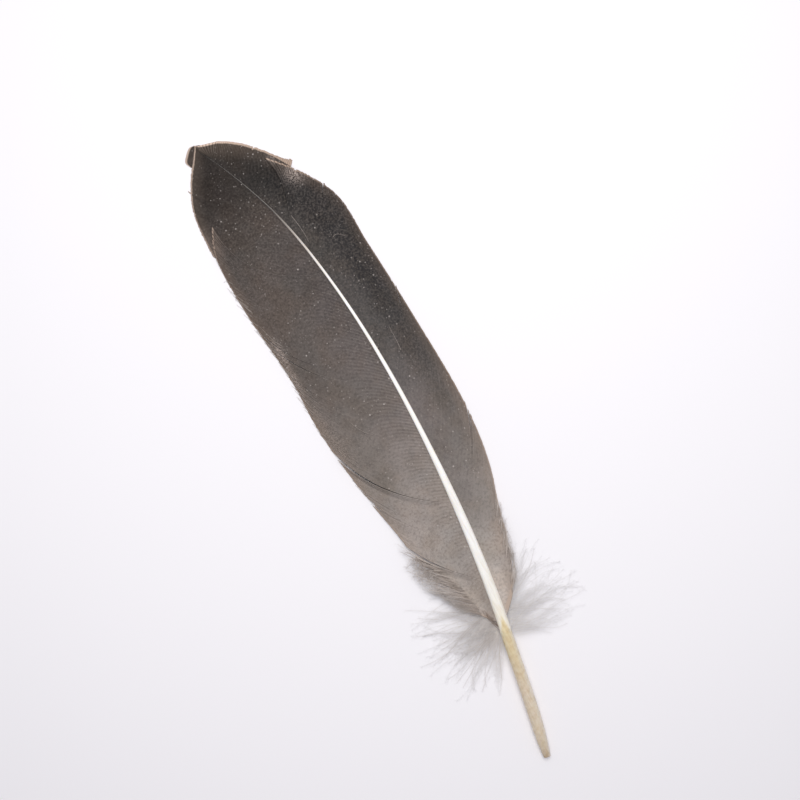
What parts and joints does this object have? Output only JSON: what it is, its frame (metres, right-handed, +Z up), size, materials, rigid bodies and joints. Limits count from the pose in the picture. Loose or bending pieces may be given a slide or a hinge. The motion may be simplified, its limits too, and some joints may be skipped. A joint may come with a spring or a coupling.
{
  "type": "feather quill",
  "caption": "Natural uncut goose feather quill: hollow horn barrel, white rachis, dark two-sided vane of barb locks, and down at its foot.",
  "frame": {"origin": "middle of the feather's footprint on the table, lying with its upper side up", "axes": "+Y from the barrel's end towards the vane's tip, +Z up, +X towards the narrow outer vane"},
  "size_m": [0.0582, 0.2502, 0.0096],
  "materials": {
    "barrel_keratin": "translucent yellowish horn, satin",
    "rachis_keratin": "ivory white horn, satin",
    "pith": "matte white foam",
    "pulp_membrane": "thin dry membrane",
    "dried_plug": "dry brown",
    "inner_vane_barbs": "soft grey-brown barbs, satin",
    "outer_vane_barbs": "dark slate barbs, satin",
    "down": "white and pale grey down"
  },
  "bodies": {
    "feather": {"afterfeather": "down", "calamus_barrel": "barrel_keratin", "inner_vane_lock_01": "inner_vane_barbs", "inner_vane_lock_03": "inner_vane_barbs", "inner_vane_lock_05": "inner_vane_barbs", "inner_vane_lock_06": "inner_vane_barbs", "inner_vane_lock_07": "inner_vane_barbs", "inner_vane_lock_08": "inner_vane_barbs", "inner_vane_lock_09": "inner_vane_barbs", "inner_vane_lock_11": "inner_vane_barbs", "inner_vane_lock_12": "inner_vane_barbs", "inner_vane_lock_13": "inner_vane_barbs", "left_down_tuft_1": "down", "left_down_tuft_2": "down", "left_down_tuft_3": "down", "left_down_tuft_4": "down", "left_down_tuft_5": "down", "lower_umbilicus_plug": "dried_plug", "outer_vane_lock_01": "outer_vane_barbs", "outer_vane_lock_02": "outer_vane_barbs", "outer_vane_lock_03": "outer_vane_barbs", "outer_vane_lock_04": "outer_vane_barbs", "outer_vane_lock_05": "outer_vane_barbs", "outer_vane_lock_06": "outer_vane_barbs", "outer_vane_lock_07": "outer_vane_barbs", "outer_vane_lock_08": "outer_vane_barbs", "outer_vane_lock_10": "outer_vane_barbs", "outer_vane_lock_11": "outer_vane_barbs", "outer_vane_lock_12": "outer_vane_barbs", "pulp_cap_1": "pulp_membrane", "pulp_cap_2": "pulp_membrane", "pulp_cap_3": "pulp_membrane", "pulp_cap_4": "pulp_membrane", "pulp_cap_5": "pulp_membrane", "pulp_cap_6": "pulp_membrane", "rachis_cortex": "rachis_keratin", "rachis_pith": "pith", "right_down_tuft_1": "down", "right_down_tuft_2": "down", "right_down_tuft_3": "down", "right_down_tuft_4": "down", "right_down_tuft_5": "down"},
    "foot_split_lock": {"inner_vane_lock_02": "inner_vane_barbs"},
    "middle_split_lock": {"inner_vane_lock_04": "inner_vane_barbs"},
    "tip_split_lock": {"inner_vane_lock_10": "inner_vane_barbs"},
    "outer_split_lock": {"outer_vane_lock_09": "outer_vane_barbs"}
  },
  "joints": [
    {"name": "foot_split_close", "type": "hinge", "parent": "feather", "child": "foot_split_lock", "pos_m": [0.0009, -0.0624, 0.0062], "axis": [0, 0, -1], "range_deg": [0, 1.5], "stiffness_Nm_per_rad": 0.002},
    {"name": "middle_split_close", "type": "hinge", "parent": "feather", "child": "middle_split_lock", "pos_m": [0.0049, -0.0368, 0.008], "axis": [0, 0, -1], "range_deg": [0, 1], "stiffness_Nm_per_rad": 0.002},
    {"name": "tip_split_close", "type": "hinge", "parent": "feather", "child": "tip_split_lock", "pos_m": [0.0088, 0.0545, 0.0065], "axis": [0, 0, -1], "range_deg": [0, 1], "stiffness_Nm_per_rad": 0.002},
    {"name": "outer_split_close", "type": "hinge", "parent": "feather", "child": "outer_split_lock", "pos_m": [0.0084, 0.0716, 0.0049], "axis": [0, 0, 1], "range_deg": [0, 1], "stiffness_Nm_per_rad": 0.002}
  ]
}
